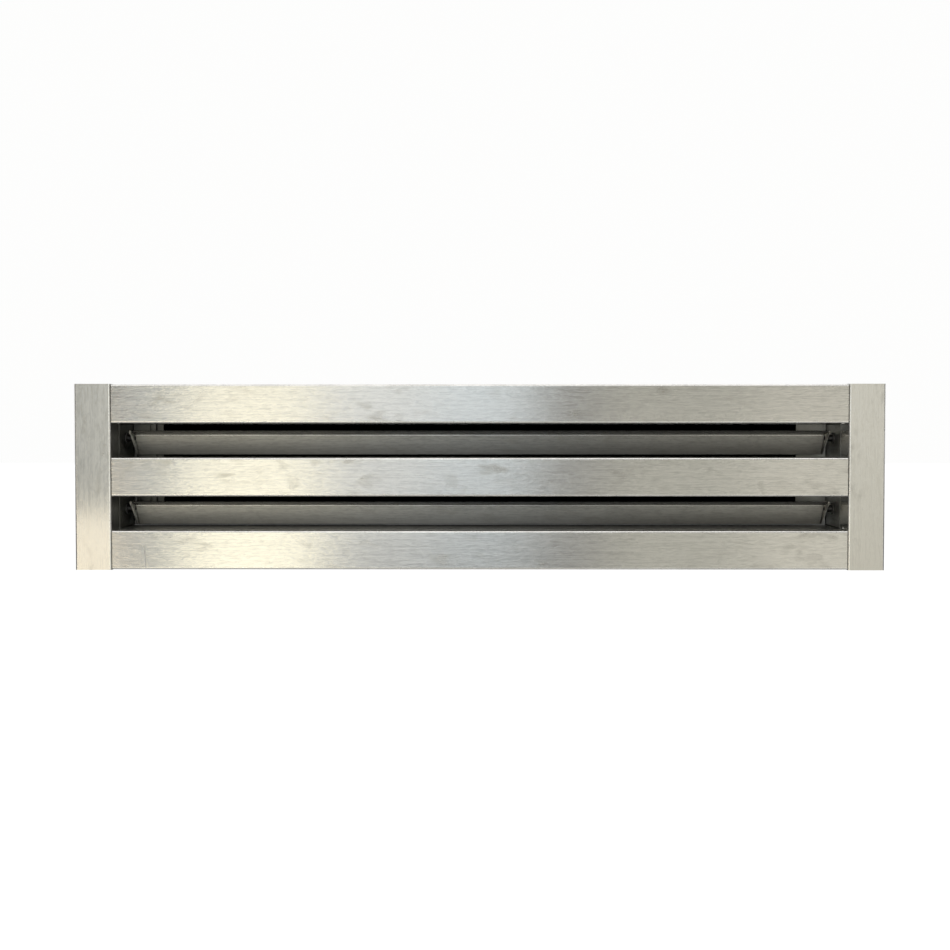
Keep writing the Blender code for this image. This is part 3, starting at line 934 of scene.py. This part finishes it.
@dataclass
class Studio:
    """Camera, lights, floor and the dark backing behind the opening."""

    camera_place: tuple[float, float, float] = (2.26 * MM, -872.7 * MM, 29.47 * MM)
    camera_pitch: float = math.radians(1.887)
    camera_turn: float = math.radians(0.333)
    lens: float = 50.41
    wall_y: float = -1.6
    floor_z: float = -0.72

    def build(self) -> None:
        """Sets up the whole studio."""
        self.place_camera()
        self.hang_lights()
        self.lay_floor()
        self.hang_backing()
        self.light_world()

    def place_camera(self) -> None:
        """Places the camera straight in front, a little above the middle."""
        data = bpy.data.cameras.new("front_camera")
        data.lens = self.lens
        data.sensor_width = 36.0
        camera = bpy.data.objects.new("front_camera", data)
        camera.location = self.camera_place
        camera.rotation_euler = (math.radians(90) - self.camera_pitch, 0, self.camera_turn)
        bpy.context.scene.collection.objects.link(camera)
        bpy.context.scene.camera = camera

    def hang_lights(self) -> None:
        """Hangs the row of panels that the frame mirrors, and soft boxes above and at the sides."""
        for index, panel in enumerate(FRONT_PANELS):
            middle = ((panel.left + panel.right) / 2, self.wall_y, (panel.low + panel.high) / 2)
            size = (panel.right - panel.left, panel.high - panel.low)
            SoftBox(f"front_panel_{index + 1}", middle, size, (middle[0], 0, middle[2]), panel.colour,
                    panel.radiance).build()
        SoftBox("overhead_box", (0, -0.3, 1.5), (2.4, 1.8), (0, 0, 0), (1.0, 0.99, 0.97), 1.2).build()
        for name, x in (("left_box", -1.9), ("right_box", 1.9)):
            SoftBox(name, (x, 0.3, 0.6), (1.4, 1.4), (0, 0, 0), (1.0, 0.99, 0.97), 0.7).build()
        SoftBox("rear_box", (0.0, 1.9, 0.9), (2.4, 1.2), (0, 0, 0), (0.98, 0.99, 1.0), 0.8).build()

    def lay_floor(self) -> None:
        """Lays a wide pale floor well below the grille."""
        bm = bmesh.new()
        bmesh.ops.create_grid(bm, x_segments=1, y_segments=1, size=30.0)
        bmesh.ops.translate(bm, vec=(0, 0, self.floor_z), verts=bm.verts[:])
        self.add_stage("pale_floor", bm, self.floor_paint())

    def floor_paint(self) -> bpy.types.Material:
        """Builds a faintly uneven pale paint.

        Returns:
            The material.
        """
        nodes = Nodes("pale_floor_paint")
        tone = nodes.noise((400.0, 400.0, 400.0), 2.0)
        nodes.link(nodes.mix(tone, (0.66, 0.66, 0.65), (0.70, 0.70, 0.69)),
                   nodes.shader.inputs["Base Color"])
        nodes.shader.inputs["Roughness"].default_value = 0.9
        nodes.shader.inputs["Emission Color"].default_value = (1, 1, 1, 1)
        seen = nodes.tree.nodes.new("ShaderNodeLightPath").outputs["Is Camera Ray"]
        nodes.link(nodes.math("MULTIPLY", seen, 0.9), nodes.shader.inputs["Emission Strength"])
        return nodes.material

    def hang_backing(self) -> None:
        """Hangs a dark backing just behind the sleeve's opening, a painted shade for the darkness inside it, clear
        when seen from behind.
        """
        low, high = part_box("sleeve_left_side")
        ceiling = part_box("sleeve_top")[0].z - 0.02 * MM
        bm = bmesh.new()
        bmesh.ops.create_grid(bm, x_segments=1, y_segments=1, size=0.5)
        bmesh.ops.scale(bm, vec=(-2 * low.x, 2 * ceiling, 1), verts=bm.verts[:])
        turn = Matrix.Rotation(math.radians(90), 4, "X")
        behind = Matrix.Translation((0, high.y - 0.02 * MM, 0))
        bmesh.ops.transform(bm, matrix=behind @ turn, verts=bm.verts[:])
        self.add_stage("dark_backing", bm, self.backing_shade_sheet())

    def backing_shade_sheet(self) -> bpy.types.Material:
        """Builds a black sheet, a painted shade, that only stops what comes from the front.

        Returns:
            The material.
        """
        nodes = Nodes("dark_backing_shade_sheet")
        nodes.shader.inputs["Base Color"].default_value = (0.004, 0.004, 0.004, 1)
        nodes.shader.inputs["Roughness"].default_value = 1.0
        nodes.shader.inputs["Specular IOR Level"].default_value = 0.0
        back = nodes.tree.nodes.new("ShaderNodeNewGeometry").outputs["Backfacing"]
        passed = nodes.tree.nodes.new("ShaderNodeLightPath").outputs["Transparent Depth"]
        clear = nodes.math("ADD", back, nodes.math("GREATER_THAN", passed, 0.5), clamp=True)
        nodes.link(nodes.math("SUBTRACT", 1.0, clear), nodes.shader.inputs["Alpha"])
        return nodes.material

    def add_stage(self, name: str, bm: bmesh.types.BMesh, material: bpy.types.Material) -> None:
        """Adds something that isn't part of the grille.

        Args:
            name: Its name.
            bm: Its shape. It is freed.
            material: Its material.
        """
        mesh = bpy.data.meshes.new(name)
        bm.to_mesh(mesh)
        bm.free()
        mesh.materials.append(material)
        thing = bpy.data.objects.new(name, mesh)
        bpy.context.scene.collection.objects.link(thing)

    def light_world(self) -> None:
        """Gives the room its even pale light."""
        world = bpy.data.worlds.new("pale_room")
        bpy.context.scene.world = world
        world.use_nodes = True
        tree = world.node_tree
        tree.nodes.clear()
        output = tree.nodes.new("ShaderNodeOutputWorld")
        mix = tree.nodes.new("ShaderNodeMixShader")
        seen = tree.nodes.new("ShaderNodeLightPath").outputs["Is Camera Ray"]
        room = tree.nodes.new("ShaderNodeBackground")
        room.inputs["Color"].default_value = (1.0, 0.995, 0.98, 1)
        room.inputs["Strength"].default_value = 0.22
        backdrop = tree.nodes.new("ShaderNodeBackground")
        backdrop.inputs["Color"].default_value = (0.985, 0.985, 0.98, 1)
        tree.links.new(seen, mix.inputs[0])
        tree.links.new(room.outputs[0], mix.inputs[1])
        tree.links.new(backdrop.outputs[0], mix.inputs[2])
        tree.links.new(mix.outputs[0], output.inputs["Surface"])
        bpy.context.scene.view_settings.view_transform = "Standard"


def main() -> None:
    """Builds the grille's finished pieces, then the studio around it."""
    logging.basicConfig(level=logging.INFO, format="%(name)s %(message)s")
    workshop = Workshop(FinishShop())
    WeldedFrame(workshop).build()
    FoldedSleeve(workshop).build()
    for name in ("upper", "lower"):
        Louvre(workshop, name).build()
    Linkage(workshop).build()
    Studio().build()


if __name__ == "__main__":
    main()
